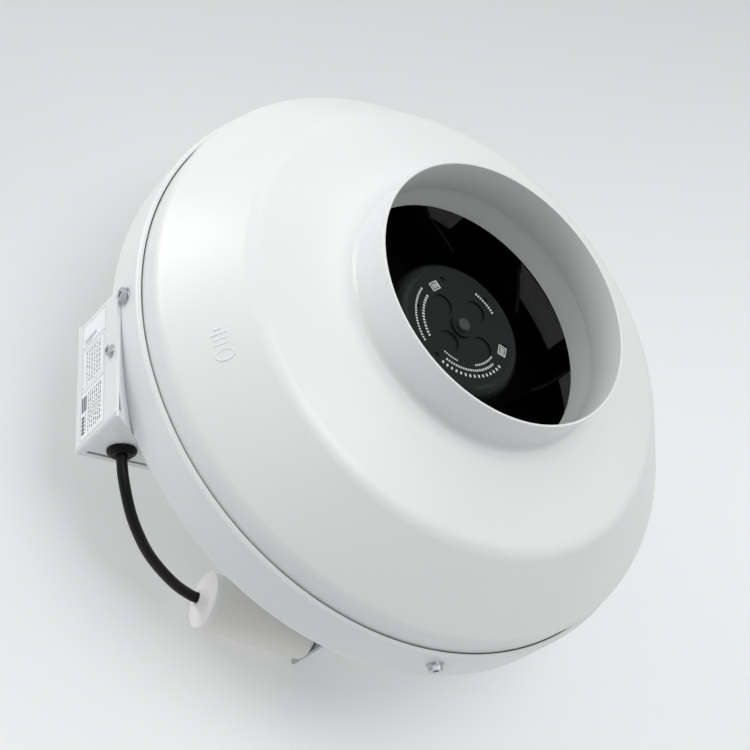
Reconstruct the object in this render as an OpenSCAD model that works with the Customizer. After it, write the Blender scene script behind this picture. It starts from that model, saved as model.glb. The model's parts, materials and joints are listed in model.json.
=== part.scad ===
// Inline duct fan for round ducts: two pressed steel shells around a centrifugal
// impeller driven by an external rotor motor, with a side terminal box and a run capacitor.
// The duct axis is +Z, the inlet is at the top, and the fan stands on its outlet spigot.
// The origin is the centre of the outlet spigot's end face. All lengths are in millimetres.

/* [Spigots] */
// Outside diameter of both duct spigots
spigot_od = 159; // [158.6:0.1:159.4]
// Overall length from the outlet edge to the inlet edge
overall_length = 202; // [200:1:206]

/* [Casing] */
// Thickness of the pressed steel
sheet = 1.5; // [1.2:0.1:1.6]
// Outside diameter of the joining band
band_od = 346.4; // [344:0.2:348]
// Height of the joining band
band_height = 30; // [28:1:32]
// Radius of the crease between the face and the cone of a shell
crease_radius = 134.5; // [132:0.5:137]

/* [Impeller] */
// Outside diameter of the impeller
impeller_od = 220; // [210:1:226]
// Number of backward-curved blades
blade_count = 7; // [6:1:9]
// Thickness of a blade
blade_thickness = 2; // [1.6:0.1:2.4]

/* [Motor] */
// Outside diameter of the external rotor
rotor_od = 84; // [82:0.5:86]
// Diameter of the shaft
shaft_d = 8; // [8:0.1:8]

/* [Terminal box] */
// Width of the terminal box across the duct
box_width = 77; // [70:1:80]
// Length of the terminal box along the duct
box_length = 48; // [44:1:50]

/* [Capacitor] */
// Diameter of the run capacitor
capacitor_d = 32; // [30:0.5:32]
// Length of the run capacitor's can
capacitor_length = 66; // [60:1:68]
// Diameter of the capacitor's cable
cable_d = 6; // [5.5:0.1:6.5]

/* [Hidden] */

$fn = 96;
arc_steps = 8;
small = 0.01;
white_paint = [0.93, 0.94, 0.94];
black_plastic = [0.06, 0.06, 0.065];
zinc = [0.72, 0.74, 0.76];
bare_steel = [0.6, 0.61, 0.63];
copper = [0.75, 0.4, 0.2];

// Casing levels, measured up from the outlet edge
spigot_r = spigot_od / 2;
band_r = band_od / 2;
band_top = 113.6;
band_bottom = band_top - band_height;
inlet_flange_r = band_r - sheet - 1.9;
face_rise = 0.158;
inlet_shoulder_z = 128.2;
inlet_crease_z = 165.7;
inlet_root_z = inlet_crease_z + face_rise * (crease_radius - spigot_r);
outlet_crease_z = 42.5;
outlet_root_z = outlet_crease_z - face_rise * (crease_radius - spigot_r);
cone_slope = (band_bottom - outlet_crease_z) / (band_r - crease_radius);
screw_z = 102.3;
shell_screw_angles = [2, 91.2, 181.2, 269.7];
nozzle_z = 160.3;

// Motor levels
rotor_r = rotor_od / 2;
rotor_wall = 2;
rotor_face_z = 160.2;
rotor_rim_z = 105;
bracket_top = 94;
bracket_sheet = 2;
bracket_foot_r = 110;
bracket_arm_w = 26;
foot_z = outlet_crease_z - face_rise * (crease_radius - bracket_foot_r) + sheet * 1.02;
flange_top = 99.5;
bearing_bore_r = 11;
bearing_width = 7;
lower_bearing_z = 101;
upper_bearing_z = 142;
stack_bottom = 113;
stack_top = 139;
stator_r = 32;
air_gap = 0.5;

// Ball bearing 8 x 22 x 7
ball_r = 1.98;
ball_pitch_r = 7.5;
ball_count = 7;
race_r = 2.03;
cage_height = 5;

// Impeller
impeller_r = impeller_od / 2;
hub_z = 113;
hub_plate = 2.2;
blade_inner_r = 58;
blade_bend_r = 90;
blade_turn = 17.4;
eye_r = 79.6;
eye_top = 163.5;
shroud_throat_z = 156;
shroud_rim_z = 147;
shroud_t = 1.8;

// Terminal box, on the -Y side
box_x0 = -10;
box_x1 = box_x0 + box_width;
box_y = -175.3;
box_z0 = 49;
box_z1 = box_z0 + box_length;
box_sheet = 1.2;
box_bend = 3.5;
box_clearance = 0.12;
slot_height = 2.3;
roof_end_y = -158;
roof_end_z = box_z1 - 15;
cover_screw_x = 26.7;
cover_screw_z = 90.6;
grommet_y = -156;
grommet_z = 64;
grommet_r = 8;
supply_y = -162;
supply_z = 58.6;

// Sloping floor of the terminal box
floor_tilt = 180 - atan(cone_slope);
floor_up = [0, cos(floor_tilt), sin(floor_tilt)];
floor_out = [0, -sin(floor_tilt), cos(floor_tilt)];
floor_origin = [27, -158.5, 67];
plate_x0 = 8;
plate_width = 38;
lead_hole_z = 61.5;
lead_hole = [-2, -(crease_radius + (lead_hole_z - outlet_crease_z) / cone_slope), lead_hole_z];
lead_r = 2.9;

// Capacitor, behind the band on the +X side
capacitor_r = capacitor_d / 2;
capacitor_end = [122.1, -85.3, 19.5];
capacitor_turn = 82.1;
cap_boss = 3.6;
cap_disc = 4;

// Route of the capacitor's cable, from the terminal box to the capacitor
cable_route = [[61, -156, 64], [66, -156, 64], [71, -156, 64], [79.5, -155, 63],
  [87.5, -152, 60.5], [94.5, -148, 56.5], [100, -143, 51.5], [105, -137, 46.5],
  [108.5, -131, 41], [112, -124, 36], [114.5, -117, 31.5], [117, -109.5, 27],
  [119, -102, 23], [120.3, -95.5, 20.7], [121.1, -92, 19.7], [121.6, -88.9, 19.5],
  [122.1, -85.3, 19.5], [122.6, -81.7, 19.5]];

bracket_azimuth = -1.5;
bracket_screw_z = 62;

// ---------- shared outlines ----------

function unit(v) = v / norm(v);
function turned(v) = [-v.y, v.x];
function cross2(a, b) = a.x * b.y - a.y * b.x;

// Arc that rounds corner b between a and c
function corner_arc(a, b, c, r) =
  let (u = unit(a - b), v = unit(c - b), half = acos(u * v) / 2,
    centre = b + unit(u + v) * r / sin(half),
    from = b + u * r / tan(half) - centre,
    to = b + v * r / tan(half) - centre,
    start = atan2(from.y, from.x),
    sweep = (atan2(to.y, to.x) - start + 540) % 360 - 180)
  [for (i = [0:arc_steps]) centre + r * [cos(start + sweep * i / arc_steps),
    sin(start + sweep * i / arc_steps)]];

// An open line of [x, y, corner radius] with its corners rounded
function rounded_line(p) = [for (i = [0:len(p) - 1])
  let (here = [p[i].x, p[i].y])
  each (p[i].z > 0 ? corner_arc([p[i - 1].x, p[i - 1].y], here, [p[i + 1].x, p[i + 1].y], p[i].z)
    : [here])];

// The same line moved by t to its left, its corner radii kept concentric
function moved_line(p, t) = [for (i = [0:len(p) - 1])
  let (here = [p[i].x, p[i].y],
    before = i > 0 ? unit(here - [p[i - 1].x, p[i - 1].y]) : undef,
    after = i < len(p) - 1 ? unit([p[i + 1].x, p[i + 1].y] - here) : undef,
    n0 = turned(before == undef ? after : before),
    n1 = turned(after == undef ? before : after),
    mitre = here + (n0 + n1) * t / (1 + n0 * n1),
    bend = before == undef || after == undef ? 0 : sign(cross2(before, after)))
  [mitre.x, mitre.y, p[i].z > 0 ? max(0.2, p[i].z - bend * t) : 0]];

// Closed outline of a bent sheet whose outer face follows p
function reversed(p) = [for (i = [len(p) - 1:-1:0]) p[i]];
function sheet_outline(p, t) = concat(rounded_line(p), reversed(rounded_line(moved_line(p, t))));

module turned_sheet(p, t) {
  rotate_extrude() polygon(sheet_outline(p, t));
}

module ring(outer, inner, height) {
  difference() {
    cylinder(r = outer, h = height);
    translate([0, 0, -1]) cylinder(r = inner, h = height + 2);
  }
}

// Radius of the outlet cone's outer face at height z
function cone_r(z) = crease_radius + (z - outlet_crease_z) / cone_slope;

// Tube swept along a route of points
function side_of(d) = unit(cross(abs(d.z) < 0.9 ? [0, 0, 1] : [1, 0, 0], d));
function route_dir(p, i) = unit(p[min(i + 1, len(p) - 1)] - p[max(i - 1, 0)]);
module swept_tube(p, r, sides) {
  points = [for (i = [0:len(p) - 1])
    let (d = route_dir(p, i), u = side_of(d), v = cross(d, u))
    for (k = [0:sides - 1]) p[i] + r * (cos(k * 360 / sides) * u + sin(k * 360 / sides) * v)];
  last = (len(p) - 1) * sides;
  walls = [for (i = [0:len(p) - 2]) for (k = [0:sides - 1])
    let (a = i * sides + k, b = i * sides + (k + 1) % sides)
    each [[a, a + sides, b], [b, a + sides, b + sides]]];
  polyhedron(points, concat([[for (k = [0:sides - 1]) k]], walls,
    [[for (k = [sides - 1:-1:0]) last + k]]));
}

// Points of a cubic curve from a to d, steered by b and c
function bezier(a, b, c, d, steps) = [for (i = [0:steps]) let (s = i / steps, q = 1 - s)
  q * q * q * a + 3 * q * q * s * b + 3 * q * s * s * c + s * s * s * d];

// Hexagon-head screw standing on z = 0 with its shank below
module hex_screw(across_flats, head_h, shank_d, shank_l, slot = 0.8) {
  difference() {
    union() {
      cylinder(d = across_flats * 1.3, h = 0.8);
      cylinder(d = across_flats / cos(30), h = head_h, $fn = 6);
    }
    if (slot > 0)
      for (a = [0, 90]) rotate(a)
        translate([-across_flats * 0.3, -slot / 2, head_h - 1.2])
          cube([across_flats * 0.6, slot, 2]);
  }
  translate([0, 0, -shank_l]) cylinder(d = shank_d, h = shank_l + small);
}

// ---------- casing ----------

inlet_line = [[spigot_r, overall_length, 0], [spigot_r, inlet_root_z, 4],
  [crease_radius, inlet_crease_z, 14], [inlet_flange_r, inlet_shoulder_z, 9],
  [inlet_flange_r, 111, 2], [band_r - sheet - 0.1, 108, 2], [band_r - sheet - 0.1, 96, 0]];

outlet_line = [[spigot_r, 0, 0], [spigot_r, outlet_root_z, 4],
  [crease_radius, outlet_crease_z, 14], [band_r, band_bottom, 7],
  [band_r, band_top - 0.2, 1.8], [band_r - 2.2, band_top + 1.4, 0]];

module at_shell_screws() {
  for (a = shell_screw_angles) rotate([0, 0, a])
    translate([band_r, 0, screw_z]) rotate([0, 90, 0]) children();
}

module foot_holes(r) {
  for (a = [45:90:315]) rotate([0, 0, a]) translate([bracket_foot_r, 0, 20])
    cylinder(r = r, h = 40);
}

module inlet_shell() {
  color(white_paint) difference() {
    turned_sheet(inlet_line, -sheet);
    at_shell_screws() translate([0, 0, -8]) cylinder(d = 4.2, h = 16);
  }
}

module outlet_shell() {
  color(white_paint) difference() {
    turned_sheet(outlet_line, sheet);
    at_shell_screws() translate([0, 0, -8]) cylinder(d = 4.3, h = 16);
    foot_holes(2.65);
    at_lead_hole() translate([0, 0, -6]) cylinder(r = 5, h = 12);
    at_base_rivets() translate([0, 0, -9]) cylinder(d = 4.1, h = 12);
    at_capacitor_bracket_screws() translate([0, 0, -8]) cylinder(d = 4.1, h = 16);
  }
}

// Ring that carries the air from the inlet spigot into the impeller's eye. Its upper edge
// fills the round of the shell's root, so that the wall runs on without a step.
module inlet_nozzle() {
  bore = spigot_r - sheet;
  root_round = 4 + sheet;
  root_top = inlet_root_z - sheet * 0.854 + root_round * 0.854;
  under = inlet_root_z - sheet * 1.02;
  flange_r = spigot_r + 24;
  color(white_paint) rotate_extrude() polygon(concat(
    [for (a = [172:-12:100]) [bore + root_round + (root_round + 0.05) * cos(a),
      root_top - (root_round + 0.05) * sin(a)]],
    [[flange_r, under - 24 * face_rise - 0.15], [flange_r, under - 24 * face_rise - 1.3],
      [spigot_r + 5, under - 2.2]],
    corner_arc([spigot_r + 5, under - 2.2], [spigot_r - 1.4, under - 1.4],
      [spigot_r - 1.6, nozzle_z], 3),
    [[spigot_r - 1.6, nozzle_z], [spigot_r - 2.7, nozzle_z], [bore, under]]));
}

module shell_screws() {
  color(zinc) at_shell_screws() hex_screw(7, 3.6, 4.1, 9, 1.1);
}

// ---------- motor ----------

module rotor_cup() {
  pocket_r = 7;
  outer = [[4.2, rotor_face_z, 0], [rotor_r, rotor_face_z, 8], [rotor_r, rotor_rim_z, 0]];
  color([0.1, 0.1, 0.105]) difference() {
    union() {
      turned_sheet(outer, -rotor_wall);
      translate([0, 0, rotor_face_z - 9]) ring(7, shaft_d / 2, 10.2);
    }
    for (a = [50:90:320]) rotate([0, 0, a]) translate([16, 0, rotor_face_z - 1])
      cylinder(r = pocket_r, h = 3);
    for (a = [0:60:300]) rotate([0, 0, a + 20]) translate([29.5, 0, rotor_face_z - 1])
      cylinder(r = 1.6, h = 3);
    at_hub_rivets() translate([0, 0, -2]) cylinder(d = 3, h = 8);
  }
}

// Laminations and cage of the external rotor
module rotor_core() {
  color(bare_steel) difference() {
    translate([0, 0, stack_bottom - 2])
      ring(rotor_r - rotor_wall, stator_r + air_gap, stack_top - stack_bottom + 4);
    for (a = [0:20:340]) rotate([0, 0, a])
      translate([stator_r + 3.6, 0, stack_bottom - 3]) cylinder(r = 1.3, h = 1.6);
  }
}

module shaft() {
  color(bare_steel) difference() {
    union() {
      translate([0, 0, 96.2]) cylinder(d = shaft_d, h = rotor_face_z + 2.6 - 96.2);
      translate([0, 0, rotor_face_z + 2.6]) cylinder(r1 = shaft_d / 2, r2 = shaft_d / 2 - 0.8, h = 0.8);
    }
    translate([0, 0, lower_bearing_z - 2.2]) ring(shaft_d, shaft_d / 2 - 0.4, 1);
  }
}

module stator_core() {
  color(bare_steel) translate([0, 0, stack_bottom]) difference() {
    ring(stator_r, 14, stack_top - stack_bottom);
    for (a = [0:15:345]) rotate([0, 0, a]) {
      translate([22, 0, -1]) cylinder(r = 1.9, h = 40);
      translate([26, 0, -1]) cylinder(r = 2.1, h = 40);
      translate([22, -1.2, -1]) cube([5, 2.4, 40]);
      translate([26, -0.5, -1]) cube([8, 1, 40]);
    }
  }
}

// Copper end turns above and below the stack, joined by the bars in its slots
module stator_windings() {
  color(copper) {
    for (z = [stack_bottom - 6.2, stack_top + 1.2]) translate([0, 0, z]) ring(29, 18.5, 5);
    for (a = [0:15:345]) rotate([0, 0, a]) translate([22, 0, stack_bottom - 2])
      cylinder(r = 1.5, h = stack_top - stack_bottom + 4);
  }
}

module stator_insulators() {
  color([0.85, 0.83, 0.75])
    for (z = [stack_bottom - 1.1, stack_top + 0.1]) translate([0, 0, z]) difference() {
      ring(30, 14.2, 1);
      for (a = [0:15:345]) rotate([0, 0, a]) translate([22, 0, -1]) cylinder(r = 1.7, h = 3);
    }
}

// Cast flange with the tube that holds the stator and both bearings
module motor_flange() {
  color([0.75, 0.76, 0.77]) difference() {
    union() {
      translate([0, 0, bracket_top]) cylinder(r = 41, h = flange_top - bracket_top);
      translate([0, 0, flange_top - small]) cylinder(r1 = 20, r2 = 16, h = 5);
      translate([0, 0, bracket_top]) cylinder(r = 14, h = upper_bearing_z + bearing_width + 1 - bracket_top);
      translate([0, 0, stack_bottom - 8]) cylinder(r = 16, h = 6);
    }
    translate([0, 0, lower_bearing_z]) cylinder(r = bearing_bore_r, h = 8.4);
    translate([0, 0, lower_bearing_z + 8]) cylinder(r = 8.5, h = 40);
    translate([0, 0, upper_bearing_z]) cylinder(r = bearing_bore_r, h = 20);
    translate([0, 0, bracket_top - 1]) cylinder(r = 7, h = 20);
    for (a = [45:90:315]) rotate([0, 0, a]) translate([33, 0, bracket_top - 1])
      cylinder(d = 4, h = 4.6);
    translate([0, -24, bracket_top + 3.2]) rotate([90, 0, 0]) cylinder(r = 3.4, h = 30);
    translate([0, -24, bracket_top + 3.2]) cylinder(r = 3.4, h = 8);
  }
}

module at_bearings() {
  for (z = [lower_bearing_z, upper_bearing_z]) translate([0, 0, z]) children();
}

module race_groove() {
  translate([0, 0, bearing_width / 2]) rotate_extrude()
    translate([ball_pitch_r, 0]) circle(r = race_r, $fn = 48);
}

module bearing_outer_rings() {
  color(bare_steel) at_bearings() difference() {
    ring(bearing_bore_r, 9.1, bearing_width);
    race_groove();
  }
}

module bearing_inner_rings() {
  color(bare_steel) at_bearings() difference() {
    ring(5.95, shaft_d / 2, bearing_width);
    race_groove();
  }
}

module bearing_balls() {
  color([0.8, 0.81, 0.83]) at_bearings() translate([0, 0, bearing_width / 2])
    for (i = [0:ball_count - 1]) rotate([0, 0, i * 360 / ball_count])
      translate([ball_pitch_r, 0, 0]) sphere(r = ball_r, $fn = 48);
}

module bearing_cages() {
  color([0.7, 0.6, 0.3]) at_bearings() translate([0, 0, bearing_width / 2]) difference() {
    translate([0, 0, -cage_height / 2]) ring(8.3, 6.8, cage_height);
    for (i = [0:ball_count - 1]) rotate([0, 0, i * 360 / ball_count])
      translate([6, 0, 0]) rotate([0, 90, 0]) cylinder(r = ball_r + 0.12, h = 3);
  }
}

// Spring washer that loads the lower bearing's outer ring
module preload_washer() {
  color(bare_steel) translate([0, 0, lower_bearing_z + bearing_width])
    rotate_extrude() polygon([[8.9, 0.85], [10.8, 0.05], [10.8, 0.4], [8.9, 1.2]]);
}

module shaft_circlip() {
  color(bare_steel) translate([0, 0, lower_bearing_z - 2.15]) rotate([0, 0, 25])
    rotate_extrude(angle = 310) translate([shaft_d / 2 - 0.4, 0]) square([2.2, 0.9]);
}

// ---------- motor support ----------

bracket_line = [[9, bracket_top - bracket_sheet, 0], [52, bracket_top - bracket_sheet, 8],
  [95, foot_z - face_rise * 15, 8], [121, foot_z + face_rise * 11, 0]];

// Four-armed pressed bracket between the motor's flange and the outlet shell
module motor_bracket() {
  color(white_paint) difference() {
    intersection() {
      turned_sheet(bracket_line, bracket_sheet);
      union() {
        cylinder(r = 47, h = 120);
        for (a = [45, 135]) rotate([0, 0, a]) translate([-130, -bracket_arm_w / 2, 0])
          cube([260, bracket_arm_w, 120]);
      }
    }
    foot_holes(2.7);
    for (a = [45:90:315]) rotate([0, 0, a]) translate([33, 0, 80]) cylinder(d = 4.4, h = 30);
  }
}

module motor_screws() {
  color(zinc) for (a = [45:90:315]) rotate([0, 0, a])
    translate([33, 0, bracket_top - bracket_sheet]) rotate([180, 0, 0]) hex_screw(7, 3, 3.95, 4.6);
}

module bracket_screws() {
  color(zinc) for (a = [45:90:315]) rotate([0, 0, a])
    translate([bracket_foot_r, 0, foot_z - sheet * 1.02 - 0.9]) rotate([180, 0, 0])
      hex_screw(8, 4, 5.2, 8);
}

// ---------- impeller ----------

module at_hub_rivets() {
  for (a = [0:90:270]) rotate([0, 0, a + 10]) translate([rotor_r - 1.6, 0, hub_z + 8])
    rotate([0, 90, 0]) children();
}

module impeller_hub() {
  color(black_plastic) difference() {
    union() {
      translate([0, 0, hub_z]) ring(impeller_r, rotor_r, hub_plate);
      translate([0, 0, hub_z]) ring(rotor_r + 3, rotor_r, 14);
    }
    at_hub_rivets() cylinder(d = 3, h = 8);
  }
}

// One blade as seen from the inlet: an arc that leans back against the rotation
module blade_outline() {
  centre = [blade_inner_r - blade_bend_r * cos(45), blade_bend_r * sin(45)];
  intersection() {
    difference() {
      translate(centre) circle(r = blade_bend_r + blade_thickness / 2, $fn = 180);
      translate(centre) circle(r = blade_bend_r - blade_thickness / 2, $fn = 180);
    }
    difference() {
      circle(r = impeller_r - 0.4, $fn = 180);
      circle(r = blade_inner_r, $fn = 180);
    }
    translate([40, -12]) square([80, 100]);
  }
}

module impeller_blades() {
  base = hub_z + hub_plate;
  color(black_plastic) for (i = [0:blade_count - 1]) rotate([0, 0, blade_turn + i * 360 / blade_count])
    intersection() {
      translate([0, 0, base]) linear_extrude(height = 50) blade_outline();
      rotate_extrude() polygon([[0, base], [impeller_r, base], [impeller_r, shroud_rim_z],
        [eye_r, shroud_throat_z], [76, 153], [blade_inner_r, 150], [0, 150]]);
    }
}

module impeller_shroud() {
  color(black_plastic) turned_sheet([[impeller_r, shroud_rim_z, 0], [eye_r, shroud_throat_z, 4],
    [eye_r, eye_top, 0]], -shroud_t);
}

module impeller_rivets() {
  color(zinc) at_hub_rivets() {
    cylinder(d = 2.9, h = 4.7);
    translate([0, 0, 4.6]) cylinder(d = 5.4, h = 0.9);
  }
}

// Small spring clip on the edge of the back plate
module balance_clip() {
  color(bare_steel) rotate([0, 0, 75]) translate([impeller_r - 5.6, -3, hub_z]) difference() {
    translate([0, 0, -0.6]) cube([6.4, 6, hub_plate + 1.2]);
    translate([-1, -1, 0]) cube([6.6, 8, hub_plate]);
  }
}

// ---------- terminal box ----------

module casing_space(gap) {
  rotate_extrude() polygon([[0, 0], [spigot_r, 0], [crease_radius + gap * 0.7, outlet_crease_z - gap * 0.7],
    [band_r + gap, band_bottom - gap * 0.4], [band_r + gap, band_top + 2], [0, band_top + 2]]);
}

// Folded cover: outer face, side walls, rear wall and front lip from one sheet
module box_cover() {
  walls = [[box_x0, -100, 0], [box_x0, box_y, box_bend], [box_x1, box_y, box_bend], [box_x1, -100, 0]];
  slot_z = box_z0 + 3.8;
  color(white_paint) difference() {
    union() {
      translate([0, 0, box_z0]) linear_extrude(height = box_length)
        polygon(sheet_outline(walls, box_sheet));
      translate([box_x0 + small, box_y + small, box_z0])
        cube([box_width - 2 * small, 60, box_sheet]);
      translate([box_x0 + small, 0, 0]) rotate([90, 0, 90])
        linear_extrude(height = box_width - 2 * small)
          polygon(sheet_outline([[box_y + 0.4, box_z1, 0], [box_y + 1.8, box_z1, 0.6],
            [roof_end_y, roof_end_z, 0]], -box_sheet));
    }
    translate([box_x0 - 2, 0, 0]) rotate([90, 0, 90]) linear_extrude(height = box_width + 4)
      polygon([[box_y + 1.8, box_z1], [box_y + 1.8, box_z1 + 3], [-140, box_z1 + 3],
        [-140, roof_end_z - 16], [roof_end_y, roof_end_z]]);
    translate([0, 0, box_z1 - 4]) linear_extrude(height = 8)
      polygon([[box_x1 - 15, box_y + 1.9], [box_x1 - 4, box_y + 1.9], [box_x1 - 4, box_y + 3.7]]);
    casing_space(box_clearance);
    translate([box_x1 - 8, -171, slot_z]) cube([10, 80, slot_height]);
    translate([box_x1 - 5, grommet_y, grommet_z]) rotate([0, 90, 0]) cylinder(r = 6.2, h = 10);
    translate([box_x0 - 5, supply_y, supply_z]) rotate([0, 90, 0]) cylinder(r = 6.2, h = 10);
    translate([cover_screw_x, box_y - 5, cover_screw_z]) rotate([-90, 0, 0]) cylinder(d = 4.2, h = 10);
  }
}

module on_floor() {
  translate(floor_origin) rotate([floor_tilt, 0, 0]) children();
}

module at_base_rivets() {
  for (p = [[-13, -10], [-13, 9]]) on_floor() translate([p.x, p.y, 0]) children();
}

module at_lead_hole() {
  translate(lead_hole) rotate([floor_tilt, 0, 0]) children();
}

plate_tab_y = box_y + box_sheet + 0.1;
plate_face = floor_origin + box_sheet * floor_out;
plate_low = plate_face - 17 * floor_up;
plate_bend_z = plate_face.z + (plate_face.y - plate_tab_y) * floor_up.z / -floor_up.y;
plate_line = [[plate_low.y, plate_low.z, 0], [plate_tab_y, plate_bend_z, 2], [plate_tab_y, 94, 0]];

// Bent plate on the casing under the cover, carrying the terminals
module box_base() {
  color(zinc) difference() {
    translate([plate_x0, 0, 0]) rotate([90, 0, 90]) linear_extrude(height = plate_width)
      polygon(sheet_outline(plate_line, -box_sheet));
    casing_space(0.15);
    at_base_rivets() translate([0, 0, -2]) cylinder(d = 4.1, h = 6);
    translate([cover_screw_x, box_y - 5, cover_screw_z]) rotate([-90, 0, 0]) cylinder(d = 3.6, h = 12);
    for (x = [-5, 13]) on_floor() translate([x, 0, -2]) cylinder(d = 2.7, h = 6);
    on_floor() translate([-13, 0, -2]) cylinder(d = 3.5, h = 6);
  }
}

module base_rivets() {
  color(zinc) at_base_rivets() {
    translate([0, 0, -5.5]) cylinder(d = 4, h = 5.6 + box_sheet);
    translate([0, 0, box_sheet]) cylinder(r1 = 4, r2 = 3, h = 1.2);
  }
}

module cover_screw() {
  color(zinc) translate([cover_screw_x, box_y, cover_screw_z]) rotate([90, 0, 0])
    hex_screw(5.5, 2.7, 3.5, 3.6, 1);
}

// Self-adhesive label on the cover's outer face
module rating_label() {
  color([0.97, 0.97, 0.97]) translate([box_x0 + 4, box_y - 0.15, box_z0 + 5.5])
    cube([box_width - 7.5, 0.15, 29]);
}

module grommet(bore) {
  rotate([0, 90, 0]) difference() {
    union() {
      translate([0, 0, 0]) cylinder(r = grommet_r, h = 1.6);
      translate([0, 0, 1.6]) cylinder(r1 = grommet_r, r2 = grommet_r - 2.6, h = 2.2);
      translate([0, 0, -box_sheet - small]) cylinder(r = 6.1, h = box_sheet + 0.02);
      translate([0, 0, -box_sheet - 2]) cylinder(r = 7.4, h = 2);
    }
    if (bore > 0) translate([0, 0, -6]) cylinder(r = bore, h = 16);
    if (bore == 0) translate([0, 0, 2]) cylinder(r = 3.6, h = 4);
  }
}

module cable_grommet() {
  color(black_plastic) translate([box_x1, grommet_y, grommet_z]) grommet(cable_d / 2 + 0.02);
}

module supply_grommet() {
  color(black_plastic) translate([box_x0, supply_y, supply_z]) mirror([1, 0, 0]) grommet(0);
}

module terminal_block() {
  color([0.9, 0.9, 0.86]) on_floor() translate([-9, -6.5, box_sheet]) difference() {
    union() {
      cube([27, 13, 5]);
      translate([2.5, 2, 0]) cube([22, 9, 10]);
    }
    for (i = [0:3]) translate([5 + i * 5.6, 6.5, 0]) {
      translate([0, 0, 5.5]) rotate([90, 0, 0]) cylinder(d = 3.4, h = 20, center = true);
      translate([0, 0, 5]) cylinder(d = 3.2, h = 12);
    }
    for (x = [4, 22]) translate([x, 6.5, -1]) cylinder(d = 2.6, h = 6);
  }
}

module terminal_inserts() {
  color([0.78, 0.65, 0.3]) for (i = [0:3]) on_floor()
    translate([-4 + i * 5.6, -4, box_sheet + 5.5]) rotate([-90, 0, 0]) difference() {
      cylinder(d = 3.3, h = 8);
      translate([0, 0, -1]) cylinder(d = 2, h = 10);
    }
}

module terminal_screws() {
  color(zinc) for (i = [0:3]) on_floor() translate([-4 + i * 5.6, 0, box_sheet + 7.3]) difference() {
    cylinder(d = 3, h = 2);
    translate([-2, -0.3, 1.2]) cube([4, 0.6, 2]);
  }
}

module terminal_block_screws() {
  color(zinc) for (x = [-5, 13]) on_floor() translate([x, 0, -1.4]) cylinder(d = 2.5, h = 6.4);
}

module earth_screw() {
  color([0.8, 0.7, 0.35]) on_floor() translate([-13, 0, box_sheet]) hex_screw(5.5, 2.6, 3.4, 2, 0.8);
}

module lead_grommet() {
  color(black_plastic) at_lead_hole() difference() {
    union() {
      translate([0, 0, -sheet - 1.8]) cylinder(r = 6.6, h = 1.6);
      translate([0, 0, -sheet - 0.5]) cylinder(r = 4.9, h = sheet + 1);
      cylinder(r = 6.6, h = 1.6);
    }
    translate([0, 0, -6]) cylinder(r = lead_r + 0.1, h = 12);
  }
}

// From the motor's flange, over the shell's floor and through the grommet to the terminals
lead_inside = lead_hole - 10 * floor_out;
lead_outside = lead_hole + 4 * floor_out;
lead_start = [0, -24, 97.2];
lead_end = [10, -164, 57.5];
module motor_lead() {
  color([0.75, 0.75, 0.72]) swept_tube(concat([lead_start],
    bezier([0, -42, 97.2], [0, -90, 97.2], lead_inside - 35 * floor_out, lead_inside, 12),
    bezier(lead_outside, lead_outside + 5 * floor_out, lead_end - [7, 0, 0], lead_end, 8)),
    lead_r, 10);
}

// ---------- capacitor ----------

module at_capacitor() {
  translate(capacitor_end) rotate([0, 0, capacitor_turn]) rotate([0, 90, 0]) children();
}

// Moulded can; its far end carries the stud
module capacitor_can() {
  color([0.92, 0.92, 0.9]) at_capacitor() {
    translate([0, 0, cap_disc]) rotate_extrude() polygon(concat(
      [[0, 0], [capacitor_r - 0.3, 0]],
      corner_arc([capacitor_r - 0.3, 0], [capacitor_r - 0.3, capacitor_length - cap_disc],
        [0, capacitor_length - cap_disc], 2),
      [[0, capacitor_length - cap_disc]]));
  }
}

module capacitor_cap() {
  color([0.94, 0.94, 0.93]) at_capacitor() rotate_extrude() polygon(concat(
    [[cable_d / 2 + 0.02, -cap_boss], [4.7, -cap_boss], [6.4, -0.6], [7.6, 0.7], [capacitor_r - 3, 0.7]],
    corner_arc([capacitor_r - 3, 0], [capacitor_r, 0], [capacitor_r, cap_disc], 1),
    [[capacitor_r, cap_disc], [cable_d / 2 + 0.02, cap_disc]]));
}

module capacitor_stud() {
  color(zinc) at_capacitor() translate([0, 0, capacitor_length]) cylinder(d = 8, h = 12);
}

module capacitor_washer() {
  color(zinc) at_capacitor() translate([0, 0, capacitor_length + 2]) ring(8, 4.2, 1.4);
}

module capacitor_nut() {
  color(zinc) at_capacitor() translate([0, 0, capacitor_length + 3.4]) difference() {
    cylinder(d = 13 / cos(30), h = 5, $fn = 6);
    translate([0, 0, -1]) cylinder(d = 8.02, h = 8);
  }
}

module capacitor_frame() {
  translate(capacitor_end) rotate([0, 0, capacitor_turn]) children();
}

module at_capacitor_bracket_screws() {
  for (a = [-4.6, 4.6]) rotate([0, 0, a + bracket_azimuth])
    translate([cone_r(bracket_screw_z), 0, bracket_screw_z]) rotate([0, floor_tilt, 0]) children();
}

// Angle that holds the stud, its foot on the outlet cone
module capacitor_bracket() {
  color(zinc) difference() {
    union() {
      capacitor_frame() translate([capacitor_length, -14, -14]) cube([2, 28, 41]);
      intersection() {
        turned_sheet([[cone_r(46), 46, 0], [cone_r(74), 74, 0]], -1.5);
        rotate([0, 0, bracket_azimuth]) translate([100, -15, 40]) cube([100, 30, 50]);
      }
    }
    capacitor_frame() translate([capacitor_length - 1, 0, 0]) rotate([0, 90, 0])
      cylinder(d = 8.2, h = 5);
    casing_space(0);
    at_capacitor_bracket_screws() translate([0, 0, -8]) cylinder(d = 4.2, h = 16);
  }
}

module capacitor_bracket_screws() {
  color(zinc) at_capacitor_bracket_screws() translate([0, 0, 1.5]) hex_screw(7, 3, 4, 6);
}

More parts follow.
